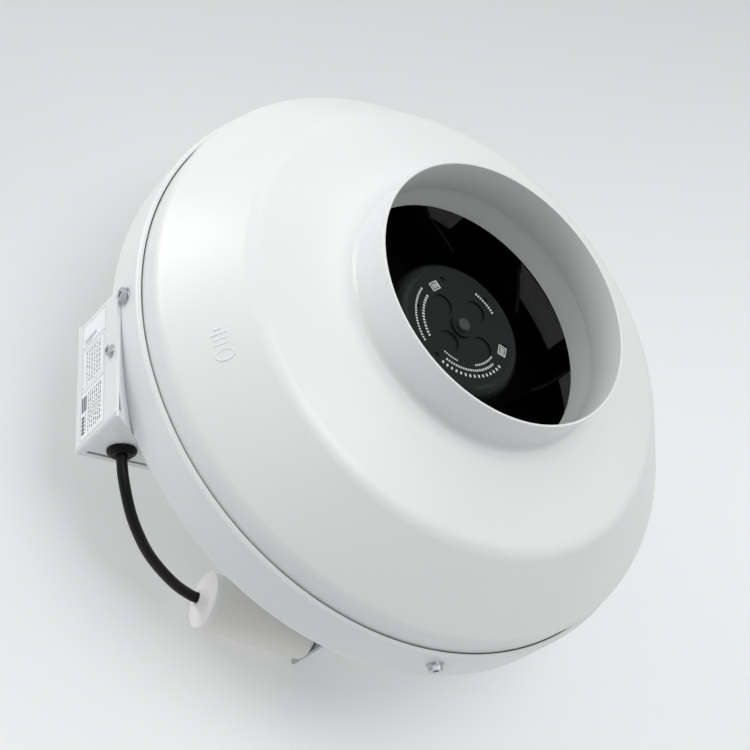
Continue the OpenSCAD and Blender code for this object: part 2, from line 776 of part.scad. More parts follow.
// Sheathed cable from the terminal box, under the band's lower edge, into the capacitor
module capacitor_cable() {
  color([0.05, 0.05, 0.055]) swept_tube(cable_route, cable_d / 2, 12);
}

inlet_shell();
outlet_shell();
inlet_nozzle();
shell_screws();
rotor_cup();
rotor_core();
shaft();
stator_core();
stator_windings();
stator_insulators();
motor_flange();
bearing_outer_rings();
bearing_inner_rings();
bearing_balls();
bearing_cages();
preload_washer();
shaft_circlip();
motor_bracket();
motor_screws();
bracket_screws();
impeller_hub();
impeller_blades();
impeller_shroud();
impeller_rivets();
balance_clip();
box_cover();
box_base();
base_rivets();
cover_screw();
rating_label();
cable_grommet();
supply_grommet();
terminal_block();
terminal_inserts();
terminal_screws();
terminal_block_screws();
earth_screw();
lead_grommet();
motor_lead();
capacitor_can();
capacitor_cap();
capacitor_stud();
capacitor_washer();
capacitor_nut();
capacitor_bracket();
capacitor_bracket_screws();
capacitor_cable();
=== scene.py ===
import json
import math
import random

import bmesh
import bpy
from mathutils import Matrix, Vector

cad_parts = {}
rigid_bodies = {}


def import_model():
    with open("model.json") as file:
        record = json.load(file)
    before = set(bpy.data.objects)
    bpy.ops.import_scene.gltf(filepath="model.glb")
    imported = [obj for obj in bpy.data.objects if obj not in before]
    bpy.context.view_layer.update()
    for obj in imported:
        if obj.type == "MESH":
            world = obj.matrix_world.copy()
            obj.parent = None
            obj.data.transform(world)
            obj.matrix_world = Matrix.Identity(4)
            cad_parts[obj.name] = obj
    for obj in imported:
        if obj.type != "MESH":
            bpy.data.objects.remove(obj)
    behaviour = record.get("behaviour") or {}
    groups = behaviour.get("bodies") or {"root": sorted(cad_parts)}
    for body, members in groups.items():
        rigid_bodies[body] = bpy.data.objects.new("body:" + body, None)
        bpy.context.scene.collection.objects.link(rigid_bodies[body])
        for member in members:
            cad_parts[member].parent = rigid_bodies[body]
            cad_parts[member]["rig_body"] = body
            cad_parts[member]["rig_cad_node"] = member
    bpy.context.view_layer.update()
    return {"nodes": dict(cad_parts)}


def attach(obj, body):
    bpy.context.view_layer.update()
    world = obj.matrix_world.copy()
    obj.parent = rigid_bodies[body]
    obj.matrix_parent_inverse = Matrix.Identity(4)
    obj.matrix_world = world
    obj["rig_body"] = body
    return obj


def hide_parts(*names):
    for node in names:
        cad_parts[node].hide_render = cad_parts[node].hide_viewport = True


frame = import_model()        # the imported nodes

nodes = frame["nodes"]
mm = 0.001
scene = bpy.context.scene
print("frame loaded:", len(nodes), "nodes")

# Camera, lowered from above the inlet side and turned on its own axis
cameraView = {
    "lens": 75.84,
    "place": (0.4415, -0.4737, 0.7335),
    "right": (0.06420, 0.83004, 0.55400),
    "up": (-0.87031, -0.22508, 0.43807),
}


def addCamera(values):
    right = Vector(values["right"]).normalized()
    up = Vector(values["up"])
    back = right.cross(up).normalized()
    up = back.cross(right)
    turn = Matrix((right, up, back)).transposed().to_4x4()
    bpy.ops.object.camera_add()
    camera = bpy.context.object
    camera.name = "mainCamera"
    camera.data.lens = values["lens"]
    camera.data.sensor_width = 36
    camera.data.clip_start = 0.05
    camera.data.clip_end = 50
    camera.matrix_world = Matrix.Translation(values["place"]) @ turn
    scene.camera = camera


addCamera(cameraView)

# Cable from the terminal box to the capacitor: the same route as in the model, in millimetres
cable = {
    "diameter": 6,
    "exit": (69.8, -156, 64),
    "route": [(61, -156, 64), (66, -156, 64), (71, -156, 64), (79.5, -155, 63), (87.5, -152, 60.5),
              (94.5, -148, 56.5), (100, -143, 51.5), (105, -137, 46.5), (108.5, -131, 41),
              (112, -124, 36), (114.5, -117, 31.5), (117, -109.5, 27), (119, -102, 23),
              (120.3, -95.5, 20.7), (121.1, -92, 19.7), (121.6, -88.9, 19.5), (122.1, -85.3, 19.5),
              (122.6, -81.7, 19.5)],
}


def addCable(values):
    curve = bpy.data.curves.new("capacitorCable", "CURVE")
    curve.dimensions = "3D"
    curve.bevel_depth = values["diameter"] / 2 * mm
    curve.bevel_resolution = 8
    curve.resolution_u = 8
    curve.use_fill_caps = True
    spline = curve.splines.new("NURBS")
    spline.points.add(len(values["route"]) - 1)
    for point, place in zip(spline.points, values["route"]):
        point.co = (*(c * mm for c in place), 1)
    spline.order_u = 4
    spline.use_endpoint_u = True
    piece = bpy.data.objects.new("capacitorCable", curve)
    scene.collection.objects.link(piece)
    return piece


capacitorCable = addCable(cable)


# Shader groups

def addNode(tree, kind, values=None, wires=None, **settings):
    node = tree.nodes.new(kind)
    for key, value in settings.items():
        setattr(node, key, value)
    for key, value in (values or {}).items():
        node.inputs[key].default_value = value
    for key, socket in (wires or {}).items():
        tree.links.new(socket, node.inputs[key])
    return node


def newGroup(name, inputs, outputs):
    group = bpy.data.node_groups.new(name, "ShaderNodeTree")
    for label, value in inputs:
        group.interface.new_socket(name=label, in_out="INPUT", socket_type="NodeSocketFloat").default_value = value
    for label in outputs:
        group.interface.new_socket(name=label, in_out="OUTPUT", socket_type="NodeSocketFloat")
    return group, addNode(group, "NodeGroupInput"), addNode(group, "NodeGroupOutput")


def mathNode(tree, operation, first, second, clamp=False):
    node = addNode(tree, "ShaderNodeMath", operation=operation, use_clamp=clamp)
    for slot, value in enumerate((first, second)):
        if isinstance(value, (int, float)):
            node.inputs[slot].default_value = value
        elif value is not None:
            tree.links.new(value, node.inputs[slot])
    return node.outputs[0]


# Fine ripple of a coat or a moulded skin, and slow changes of tone over it
def buildGrain():
    group, given, result = newGroup("surfaceGrain", [("Scale", 600), ("Speckle", 0.3)],
                                    ["Height", "Mottle"])
    place = addNode(group, "ShaderNodeTexCoord").outputs["Object"]
    ripple = addNode(group, "ShaderNodeTexNoise", {"Detail": 2.0}, {"Vector": place, "Scale": given.outputs["Scale"]})
    fine = mathNode(group, "MULTIPLY", given.outputs["Scale"], 3.1)
    speckle = addNode(group, "ShaderNodeTexVoronoi", wires={"Vector": place, "Scale": fine})
    part = mathNode(group, "MULTIPLY", speckle.outputs["Distance"], given.outputs["Speckle"])
    group.links.new(mathNode(group, "ADD", ripple.outputs[0], part), result.inputs["Height"])
    mottle = addNode(group, "ShaderNodeTexNoise", {"Scale": 9.0, "Detail": 5.0, "Roughness": 0.6}, {"Vector": place})
    spread = addNode(group, "ShaderNodeMapRange", {"From Min": 0.35, "From Max": 0.65},
                     {"Value": mottle.outputs[0]}, interpolation_type="SMOOTHSTEP")
    group.links.new(spread.outputs[0], result.inputs["Mottle"])
    return group


# Where edges stand out and get rubbed
def buildEdgeWear():
    group, given, result = newGroup("edgeWear", [("Radius", 0.0006), ("Patchiness", 40), ("Amount", 1)], ["Mask"])
    soft = addNode(group, "ShaderNodeBevel", wires={"Radius": given.outputs["Radius"]}, samples=4)
    sharp = addNode(group, "ShaderNodeNewGeometry")
    same = addNode(group, "ShaderNodeVectorMath", operation="DOT_PRODUCT",
                   wires={0: soft.outputs[0], 1: sharp.outputs["Normal"]})
    edge = mathNode(group, "SUBTRACT", 1.0, same.outputs["Value"], True)
    edge = mathNode(group, "MULTIPLY", edge, 6.0, True)
    place = addNode(group, "ShaderNodeTexCoord").outputs["Object"]
    patch = addNode(group, "ShaderNodeTexNoise", {"Detail": 4.0},
                    {"Vector": place, "Scale": given.outputs["Patchiness"]})
    patch = addNode(group, "ShaderNodeMapRange", {"From Min": 0.42, "From Max": 0.62}, {"Value": patch.outputs[0]})
    worn = mathNode(group, "MULTIPLY", edge, patch.outputs[0])
    group.links.new(mathNode(group, "MULTIPLY", worn, given.outputs["Amount"], True), result.inputs["Mask"])
    return group


# Handling marks and settled dust, which change how dull the surface is
def buildSmudge():
    group, given, result = newGroup("smudgeAndDust", [("Scale", 22), ("Dust", 0.3)], ["Mask"])
    coords = addNode(group, "ShaderNodeTexCoord")
    smear = addNode(group, "ShaderNodeTexNoise", {"Detail": 6.0, "Roughness": 0.65, "Distortion": 0.6},
                    {"Vector": coords.outputs["Object"], "Scale": given.outputs["Scale"]})
    smear = addNode(group, "ShaderNodeMapRange", {"From Min": 0.45, "From Max": 0.7}, {"Value": smear.outputs[0]})
    upward = addNode(group, "ShaderNodeSeparateXYZ", wires={0: coords.outputs["Normal"]})
    lying = mathNode(group, "MULTIPLY", upward.outputs["Z"], given.outputs["Dust"], True)
    specks = addNode(group, "ShaderNodeTexNoise", {"Scale": 900.0, "Detail": 2.0},
                     {"Vector": coords.outputs["Object"]})
    lying = mathNode(group, "MULTIPLY", lying, specks.outputs[0])
    group.links.new(mathNode(group, "ADD", smear.outputs[0], lying, True), result.inputs["Mask"])
    return group


# Drawn or turned lines on bare metal
def buildToolMarks():
    group, given, result = newGroup("toolMarks", [("Scale", 60), ("Stretch", 20)], ["Height"])
    place = addNode(group, "ShaderNodeTexCoord").outputs["Object"]
    parts = addNode(group, "ShaderNodeSeparateXYZ", wires={0: place})
    tall = mathNode(group, "MULTIPLY", parts.outputs["Z"], given.outputs["Stretch"])
    joined = addNode(group, "ShaderNodeCombineXYZ", wires={0: parts.outputs["X"], 1: parts.outputs["Y"], 2: tall})
    lines = addNode(group, "ShaderNodeTexNoise", {"Detail": 3.0},
                    {"Vector": joined.outputs[0], "Scale": given.outputs["Scale"]})
    group.links.new(lines.outputs[0], result.inputs["Height"])
    return group


groups = {
    "grain": buildGrain(),
    "wear": buildEdgeWear(),
    "smudge": buildSmudge(),
    "marks": buildToolMarks(),
}


def placeGroup(tree, name, **values):
    node = addNode(tree, "ShaderNodeGroup", node_tree=groups[name])
    for key, value in values.items():
        node.inputs[key].default_value = value
    return node


def blendColours(tree, factor, first, second):
    mix = addNode(tree, "ShaderNodeMix", data_type="RGBA")
    tree.links.new(factor, mix.inputs[0])
    for slot, value in ((6, first), (7, second)):
        if isinstance(value, tuple):
            mix.inputs[slot].default_value = (*value, 1)
        else:
            tree.links.new(value, mix.inputs[slot])
    return mix.outputs[2]


bumpDepth = 0.0001
smearScale = 22
dustAmount = 0.3
wearRadius = 0.0006


# A finish: its two close tones, its worn tone, how dull it is and how its surface ripples
def makeFinish(name, look):
    material = bpy.data.materials.new(name)
    material.use_nodes = True
    tree = material.node_tree
    tree.nodes.clear()
    shader = addNode(tree, "ShaderNodeBsdfPrincipled")
    out = addNode(tree, "ShaderNodeOutputMaterial", wires={"Surface": shader.outputs[0]})
    out.location = (400, 0)
    grain = placeGroup(tree, "grain", Scale=look["ripple"], Speckle=look.get("speckle", 0.3))
    smudge = placeGroup(tree, "smudge", Scale=smearScale, Dust=dustAmount)
    colour = blendColours(tree, grain.outputs["Mottle"], look["tone"], look["shade"])
    if "worn" in look:
        wear = placeGroup(tree, "wear", Radius=wearRadius, Amount=look.get("rubbed", 0.6))
        colour = blendColours(tree, wear.outputs["Mask"], colour, look["worn"])
    tree.links.new(colour, shader.inputs["Base Color"])
    dull = addNode(tree, "ShaderNodeMapRange", {"To Min": look["dull"][0], "To Max": look["dull"][1]},
                   {"Value": smudge.outputs["Mask"]})
    tree.links.new(dull.outputs[0], shader.inputs["Roughness"])
    height = grain.outputs["Height"]
    if "marks" in look:
        marks = placeGroup(tree, "marks", Scale=look["marks"][0], Stretch=look["marks"][1])
        height = mathNode(tree, "ADD", height, marks.outputs["Height"])
    bump = addNode(tree, "ShaderNodeBump", {"Strength": look["bump"], "Distance": bumpDepth},
                   {"Height": height})
    tree.links.new(bump.outputs[0], shader.inputs["Normal"])
    shader.inputs["Metallic"].default_value = look.get("metal", 0.0)
    shader.inputs["Coat Weight"].default_value = look.get("coat", 0.0)
    shader.inputs["Coat Roughness"].default_value = look.get("coatDull", 0.2)
    shader.inputs["Specular IOR Level"].default_value = look.get("shine", 0.5)
    return material


finishes = {
    "whitePaint": {"tone": (0.83, 0.84, 0.84), "shade": (0.81, 0.822, 0.822), "worn": (0.86, 0.875, 0.875),
                   "dull": (0.36, 0.46), "ripple": 420, "speckle": 0.25, "bump": 0.12, "rubbed": 0.35,
                   "coat": 0.25, "coatDull": 0.28},
    "blackMoulding": {"tone": (0.0014, 0.0014, 0.0016), "shade": (0.0022, 0.0022, 0.0025),
                      "worn": (0.005, 0.005, 0.0055),
                      "dull": (0.42, 0.58), "ripple": 900, "bump": 0.2, "rubbed": 0.1, "shine": 0.05},
    "rotorPaint": {"tone": (0.010, 0.0115, 0.012), "shade": (0.013, 0.015, 0.016), "worn": (0.035, 0.036, 0.038),
                   "dull": (0.26, 0.40), "ripple": 500, "bump": 0.12, "rubbed": 0.3, "shine": 0.2},
    "bossPaint": {"tone": (0.045, 0.047, 0.048), "shade": (0.06, 0.062, 0.063), "worn": (0.12, 0.12, 0.12),
                  "dull": (0.34, 0.5), "ripple": 400, "bump": 0.15, "shine": 0.35},
    "bareSteel": {"tone": (0.42, 0.43, 0.44), "shade": (0.36, 0.37, 0.38), "worn": (0.62, 0.63, 0.64), "metal": 1.0,
                  "dull": (0.26, 0.42), "ripple": 300, "bump": 0.15, "marks": (90, 24)},
    "bearingSteel": {"tone": (0.60, 0.61, 0.63), "shade": (0.55, 0.56, 0.58), "metal": 1.0,
                     "dull": (0.10, 0.22), "ripple": 700, "bump": 0.05},
    "zincPlate": {"tone": (0.62, 0.65, 0.68), "shade": (0.50, 0.52, 0.54), "worn": (0.80, 0.81, 0.82), "metal": 1.0,
                  "dull": (0.20, 0.38), "ripple": 260, "bump": 0.12, "marks": (140, 3)},
    "castAluminium": {"tone": (0.56, 0.57, 0.58), "shade": (0.48, 0.49, 0.50), "worn": (0.7, 0.7, 0.71), "metal": 1.0,
                      "dull": (0.42, 0.58), "ripple": 380, "speckle": 0.6, "bump": 0.35},
    "copperWire": {"tone": (0.52, 0.17, 0.06), "shade": (0.40, 0.12, 0.04), "metal": 1.0,
                   "dull": (0.22, 0.38), "ripple": 500, "bump": 0.3, "marks": (420, 1)},
    "brass": {"tone": (0.66, 0.47, 0.19), "shade": (0.56, 0.38, 0.14), "worn": (0.8, 0.64, 0.34), "metal": 1.0,
              "dull": (0.22, 0.36), "ripple": 400, "bump": 0.12, "marks": (160, 8)},
    "naturalPlastic": {"tone": (0.72, 0.68, 0.56), "shade": (0.67, 0.63, 0.51), "worn": (0.8, 0.77, 0.68),
                       "dull": (0.42, 0.55), "ripple": 800, "bump": 0.15},
    "greySheath": {"tone": (0.33, 0.33, 0.32), "shade": (0.28, 0.28, 0.27),
                   "dull": (0.45, 0.6), "ripple": 900, "bump": 0.2},
    "capacitorPlastic": {"tone": (0.90, 0.90, 0.865), "shade": (0.875, 0.875, 0.84), "worn": (0.92, 0.92, 0.89),
                         "dull": (0.34, 0.46), "ripple": 240, "bump": 0.10, "rubbed": 0.3},
    "capWhite": {"tone": (0.93, 0.93, 0.915), "shade": (0.91, 0.91, 0.895), "worn": (0.94, 0.94, 0.93),
                 "dull": (0.30, 0.42), "ripple": 300, "bump": 0.08, "rubbed": 0.3},
    "blackRubber": {"tone": (0.002, 0.002, 0.0022), "shade": (0.0035, 0.0035, 0.004), "worn": (0.01, 0.01, 0.01),
                    "dull": (0.38, 0.55), "ripple": 1100, "bump": 0.15, "shine": 0.15},
    "cableSheath": {"tone": (0.0035, 0.004, 0.004), "shade": (0.006, 0.0065, 0.0065),
                    "dull": (0.34, 0.48), "ripple": 700, "bump": 0.18, "shine": 0.2},
    "labelFilm": {"tone": (0.95, 0.955, 0.96), "shade": (0.93, 0.935, 0.945), "worn": (0.96, 0.96, 0.96),
                  "dull": (0.20, 0.30), "ripple": 200, "bump": 0.06, "rubbed": 0.3},
    "printInk": {"tone": (0.015, 0.016, 0.02), "shade": (0.03, 0.032, 0.036),
                 "dull": (0.35, 0.5), "ripple": 900, "bump": 0.05},
    "paleInk": {"tone": (0.30, 0.34, 0.36), "shade": (0.38, 0.43, 0.44),
                "dull": (0.35, 0.5), "ripple": 900, "bump": 0.05},
    "whiteInk": {"tone": (0.62, 0.64, 0.64), "shade": (0.48, 0.50, 0.50),
                "dull": (0.4, 0.55), "ripple": 900, "bump": 0.1},
}
materials = {name: makeFinish(name, look) for name, look in finishes.items()}
print("finishes made:", len(materials))


# Modelling helpers

def clearSelection():
    if bpy.context.object and bpy.context.object.mode != "OBJECT":
        bpy.ops.object.mode_set(mode="OBJECT")
    bpy.ops.object.select_all(action="DESELECT")


def makeActive(piece):
    clearSelection()
    piece.select_set(True)
    bpy.context.view_layer.objects.active = piece


# Selects the edges of the active piece that pass a test
def pickEdges(piece, test):
    bpy.ops.mesh.select_all(action="DESELECT")
    bpy.ops.mesh.select_mode(type="EDGE")
    mesh = bmesh.from_edit_mesh(piece.data)
    for edge in mesh.edges:
        if test(edge):
            edge.select_set(True)
    bmesh.update_edit_mesh(piece.data)


def applyModifier(piece, kind, **settings):
    makeActive(piece)
    modifier = piece.modifiers.new(kind.title(), kind)
    for key, value in settings.items():
        setattr(modifier, key, value)
    bpy.ops.object.modifier_apply(modifier=modifier.name)


def softenEdges(piece, width, segments=2, angle=35):
    applyModifier(piece, "BEVEL", width=width * mm, segments=segments, limit_method="ANGLE",
                  angle_limit=math.radians(angle))


def smoothFaces(piece, angle=32):
    makeActive(piece)
    bpy.ops.object.shade_smooth_by_angle(angle=math.radians(angle))


def movePiece(piece, matrix):
    piece.matrix_world = matrix @ piece.matrix_world
    makeActive(piece)
    bpy.ops.object.transform_apply(location=True, rotation=True, scale=True)


def joinPieces(pieces, name):
    clearSelection()
    for piece in pieces:
        piece.select_set(True)
    bpy.context.view_layer.objects.active = pieces[0]
    if len(pieces) > 1:
        bpy.ops.object.join()
    pieces[0].name = name
    return pieces[0]


def finishPiece(piece, body, material, replaced=()):
    makeActive(piece)
    bpy.ops.object.transform_apply(location=True, rotation=True, scale=True)
    piece.data.materials.clear()
    piece.data.materials.append(materials[material])
    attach(piece, body)
    if replaced:
        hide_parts(*replaced)
    return piece


# A line of (radius, height, rounding) turned about +Z, as an open surface
def turnedLine(name, rings, segments=192, arcParts=8):
    clearSelection()
    first = rings[0]
    bpy.ops.mesh.primitive_circle_add(vertices=segments, radius=first[0] * mm, location=(0, 0, first[1] * mm),
                                      fill_type="NOTHING")
    piece = bpy.context.object
    piece.name = name
    bpy.ops.object.transform_apply(location=True, rotation=True, scale=True)
    bpy.ops.object.mode_set(mode="EDIT")
    bpy.ops.mesh.select_all(action="SELECT")
    for here, there in zip(rings, rings[1:]):
        bpy.ops.mesh.extrude_region_move(TRANSFORM_OT_translate={"value": (0, 0, (there[1] - here[1]) * mm)})
        grow = there[0] / here[0]
        bpy.ops.transform.resize(value=(grow, grow, 1), center_override=(0, 0, 0.0001))
        if abs(there[1]) > 0:
            settle(piece, there[1])
    for before, here, after in zip(rings, rings[1:], rings[2:]):
        if here[2] > 0:
            roundRing(piece, before, here, after, arcParts)
    bpy.ops.mesh.select_all(action="SELECT")
    bpy.ops.mesh.remove_doubles(threshold=1e-6)
    bpy.ops.mesh.normals_make_consistent(inside=False)
    bpy.ops.object.mode_set(mode="OBJECT")
    return piece


# Keeps the ring that was just scaled at its own height
def settle(piece, height):
    mesh = bmesh.from_edit_mesh(piece.data)
    for vertex in mesh.verts:
        if vertex.select:
            vertex.co.z = height * mm
    bmesh.update_edit_mesh(piece.data)


def roundRing(piece, before, here, after, arcParts):
    into = Vector((here[0] - before[0], here[1] - before[1])).normalized()
    away = Vector((after[0] - here[0], after[1] - here[1])).normalized()
    turn = into.angle(away)
    near = 1e-6

    def onRing(vertex):
        return abs(vertex.co.z - here[1] * mm) < near and abs(vertex.co.xy.length - here[0] * mm) < near * 20

    pickEdges(piece, lambda edge: all(onRing(vertex) for vertex in edge.verts))
    bpy.ops.mesh.bevel(offset=here[2] * mm * math.tan(turn / 2), segments=arcParts, profile=0.5,
                       offset_type="OFFSET", affect="EDGES", clamp_overlap=False)


# Gives an open turned surface its wall
def thicken(piece, wall, inward=True):
    applyModifier(piece, "SOLIDIFY", thickness=wall * mm, offset=-1.0 if inward else 1.0,
                  use_even_offset=True, use_quality_normals=True)


# A merged, edge-softened copy of a model node
def refined(nodeName, name, edge=0.2, angle=32):
    clearSelection()
    source = nodes[nodeName]
    piece = source.copy()
    piece.data = source.data.copy()
    scene.collection.objects.link(piece)
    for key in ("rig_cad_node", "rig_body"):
        if key in piece:
            del piece[key]
    piece.parent = None
    piece.matrix_world = Matrix.Identity(4)
    piece.name = name
    makeActive(piece)
    bpy.ops.mesh.customdata_custom_splitnormals_clear()
    bpy.ops.object.mode_set(mode="EDIT")
    bpy.ops.mesh.select_all(action="SELECT")
    bpy.ops.mesh.remove_doubles(threshold=2e-6)
    bpy.ops.mesh.dissolve_limited(angle_limit=math.radians(0.5))
    bpy.ops.object.mode_set(mode="OBJECT")
    if edge > 0:
        softenEdges(piece, edge, 2, angle)
    smoothFaces(piece, angle)
    applyModifier(piece, "WEIGHTED_NORMAL", keep_sharp=True, weight=80)
    return piece


# The two shells, in millimetres

casing = {
    "segments": 256,
    "wall": 1.5,
    "spigot": 79.5,
    "crease": 134.5,
    "band": 173.2,
    "flange": 169.8,
    "length": 202,
    "inletRoot": 174.39,
    "inletCrease": 165.7,
    "inletShoulder": 128.2,
    "outletRoot": 33.81,
    "outletCrease": 42.5,
    "bandLow": 83.6,
    "bandTop": 113.4,
    "hem": 2.2,
    "hemRise": 1.6,
    "rounds": {"root": 4, "crease": 14, "shoulder": 9, "band": 7, "hem": 1.8},
    "skirt": [(169.8, 111, 2), (171.6, 108, 2), (171.6, 96, 0)],
    # the black ring in the band's joint is painted shade, standing for the shadow there
    "shadeRing": {"low": 110.5, "top": 113.6, "inGap": 0.1, "outGap": 0.2},
    "edge": {"width": 0.45, "segments": 3, "angle": 50},
    "smooth": 40,
}


def makeShell(name, line, values, nodeName):
    piece = turnedLine(name, line, values["segments"])
    thicken(piece, values["wall"])
    softenEdges(piece, **values["edge"])
    smoothFaces(piece, values["smooth"])
    return finishPiece(piece, "casing", "whitePaint", [nodeName])


def makeInletShell(values):
    rounds = values["rounds"]
    line = [(values["spigot"], values["length"], 0), (values["spigot"], values["inletRoot"], rounds["root"]),
            (values["crease"], values["inletCrease"], rounds["crease"]),
            (values["flange"], values["inletShoulder"], rounds["shoulder"])] + values["skirt"]
    return makeShell("inletShell", line, values, "inlet_shell")


def makeOutletShell(values):
    rounds = values["rounds"]
    line = [(values["spigot"], 0, 0), (values["spigot"], values["outletRoot"], rounds["root"]),
            (values["crease"], values["outletCrease"], rounds["crease"]),
            (values["band"], values["bandLow"], rounds["band"]), (values["band"], values["bandTop"], rounds["hem"]),
            (values["band"] - values["hem"], values["bandTop"] + values["hemRise"], 0)]
    return makeShell("outletShell", line, values, "outlet_shell")


# A black ring low in the joint between the band and the inlet shell: painted shade, a dark sheet where the joint is
# only in shadow
def makeJointShadeRing(values):
    shadeRing = values["shadeRing"]
    inner = values["flange"] + shadeRing["inGap"]
    outer = values["band"] - values["hem"] + shadeRing["outGap"]
    line = [(inner, shadeRing["low"], 0), (inner, shadeRing["top"], 0), (outer, shadeRing["top"], 0),
            (outer, shadeRing["low"], 0), (inner, shadeRing["low"], 0)]
    piece = turnedLine("jointShadeRing", line, values["segments"])
    smoothFaces(piece, values["smooth"])
    return finishPiece(piece, "casing", "blackRubber")


makeInletShell(casing)
makeOutletShell(casing)
makeJointShadeRing(casing)
print("shells made")

# Pieces that keep the model's own shape, with softened edges

fittings = [
    ("inlet_nozzle", "inletNozzle", "white_paint", "whitePaint", 0),
    ("motor_bracket", "motorBracket", "white_paint", "whitePaint", 0.3),
    ("motor_flange", "motorFlange", "aluminium", "castAluminium", 0.4),
    ("motor_screws", "motorScrews", "zinc", "zincPlate", 0.2),
    ("bracket_screws", "bracketScrews", "zinc", "zincPlate", 0.2),
    ("box_cover", "boxCover", "white_paint", "whitePaint", 0.3),
    ("box_base", "boxBase", "zinc", "zincPlate", 0.2),
    ("base_rivets", "baseRivets", "aluminium", "castAluminium", 0.3),
    ("terminal_block", "terminalBlock", "insulation", "naturalPlastic", 0.3),
    ("earth_screw", "earthScrew", "brass", "brass", 0.2),
    ("shell_screws", "shellScrews", "zinc", "zincPlate", 0.22),
    ("cover_screw", "coverScrew", "zinc", "zincPlate", 0.22),
    ("cable_grommet", "cableGrommet", "black_rubber", "blackRubber", 0.5),
    ("supply_grommet", "supplyGrommet", "black_rubber", "blackRubber", 0.5),
    ("capacitor_can", "capacitorCan", "grey_plastic", "capacitorPlastic", 0.3),
    ("capacitor_cap", "capacitorCap", "cap_white", "capWhite", 0.25),
    ("capacitor_stud", "capacitorStud", "zinc", "zincPlate", 0.4),
    ("capacitor_washer", "capacitorWasher", "zinc", "zincPlate", 0.2),
    ("capacitor_nut", "capacitorNut", "zinc", "zincPlate", 0.3),
    ("capacitor_bracket", "capacitorBracket", "zinc", "zincPlate", 0.3),
    ("capacitor_bracket_screws", "capacitorBracketScrews", "zinc", "zincPlate", 0.2),
]
turning = [
    ("rotor_cup", "rotorCup", "rotor_black", "rotorPaint", 0.3),
    ("shaft", "motorShaft", "steel", "bossPaint", 0.2),
    ("impeller_hub", "impellerHub", "black_plastic", "blackMoulding", 0.3),
    ("impeller_blades", "impellerBlades", "black_plastic", "blackMoulding", 0.4),
    ("impeller_shroud", "impellerShroud", "black_plastic", "blackMoulding", 0.4),
    ("impeller_rivets", "impellerRivets", "zinc", "zincPlate", 0.2),
    ("balance_clip", "balanceClip", "steel", "bareSteel", 0.15),
]
for body, group in (("casing", fittings), ("rotor", turning)):
    for nodeName, name, slotName, material, edge in group:
        finishPiece(refined(nodeName, name, edge), body, material, [nodeName])
print("fittings refined:", len(fittings) + len(turning))

# Sealed inner pieces keep their nodes and take a finish
innerFinishes = {
    "rotor_core": "bareSteel", "stator_core": "bareSteel", "stator_windings": "copperWire",
    "stator_insulators": "naturalPlastic", "bearing_outer_rings": "bearingSteel",
    "bearing_inner_rings": "bearingSteel", "bearing_balls": "bearingSteel", "bearing_cages": "brass",
    "preload_washer": "bareSteel", "shaft_circlip": "bareSteel", "terminal_inserts": "brass",
    "terminal_screws": "zincPlate", "terminal_block_screws": "zincPlate", "lead_grommet": "blackRubber",
    "motor_lead": "greySheath",
}
for nodeName, material in innerFinishes.items():
    slots = nodes[nodeName].data.materials
    slots.clear()
    slots.append(materials[material])

# Flat marks: each is (left, right, low, high) on a plane given by its corner and two directions
def markPlate(name, origin, along, up, marks, thick):
    outward = along.cross(up)
    clearSelection()
    bpy.ops.mesh.primitive_cube_add(size=1)
    piece = bpy.context.object
    piece.name = name
    bpy.ops.object.mode_set(mode="EDIT")
    bpy.ops.mesh.delete(type="VERT")
    bpy.ops.object.mode_set(mode="OBJECT")
    mesh = bmesh.new()
    for left, right, low, high in marks:
        place = origin + along * ((left + right) / 2) + up * ((low + high) / 2) + outward * (thick / 2)
        size = Matrix.Diagonal((right - left, high - low, thick, 1))
        turn = Matrix((along, up, outward)).transposed().to_4x4()
        bmesh.ops.create_cube(mesh, size=mm, matrix=Matrix.Translation(place * mm) @ turn @ size)
    mesh.to_mesh(piece.data)
    mesh.free()
    return piece


def outline(left, right, low, high, line):
    return [(left, right, low, low + line), (left, right, high - line, high),
            (left, left + line, low + line, high - line), (right - line, right, low + line, high - line)]


# The label on the box cover: a film with a border, fields and rows of plain marks
label = {
    "left": -6, "right": 63.5, "low": 54.5, "high": 83.5, "face": -175.45,
    "film": 0.15, "ink": 0.04,
    "fields": (8.4, 35.2),
    "margin": 0.6, "borderLine": 0.14, "dividerHalf": 0.12,
    "bars": {"from": 3, "to": 12, "tall": 1.35, "at": (1.8, 3.9, 6.0)},
    "blocks": {"from": 14.5, "wide": 1.6, "pitch": 2.2, "low": 2.0, "high": 5.2, "count": 5},
    # left, low, right and upper margin, then pitch, line and gap
    "fineRows": (2.5, 9.4, 3, 2.5, 2.35, 0.75, 0.9),
    "shortRows": {"left": 13.5, "right": 3.5, "low": 6.4, "high": 8, "pitch": 1.3, "line": 0.36, "gap": 0.5},
    "frame": {"side": 1.8, "end": 2, "line": 0.3},
    "frameRows": {"side": 3.4, "low": 6, "end": 4, "pitch": 3.1, "line": 1.5, "gap": 1.0},
    "columns": [  # left and right before the first divider, height of a mark, lower edges
        (4.8, 2.6, 1.3, (4, 6.4, 8.8, 11.2, 13.6, 16)), (2.2, 1.4, 1.0, (4, 5.6, 7.2, 8.8, 10.4, 12))],
    "markWidths": (0.7, 2.6),
    "seed": 7,
    "filmEdge": 0.05,
}


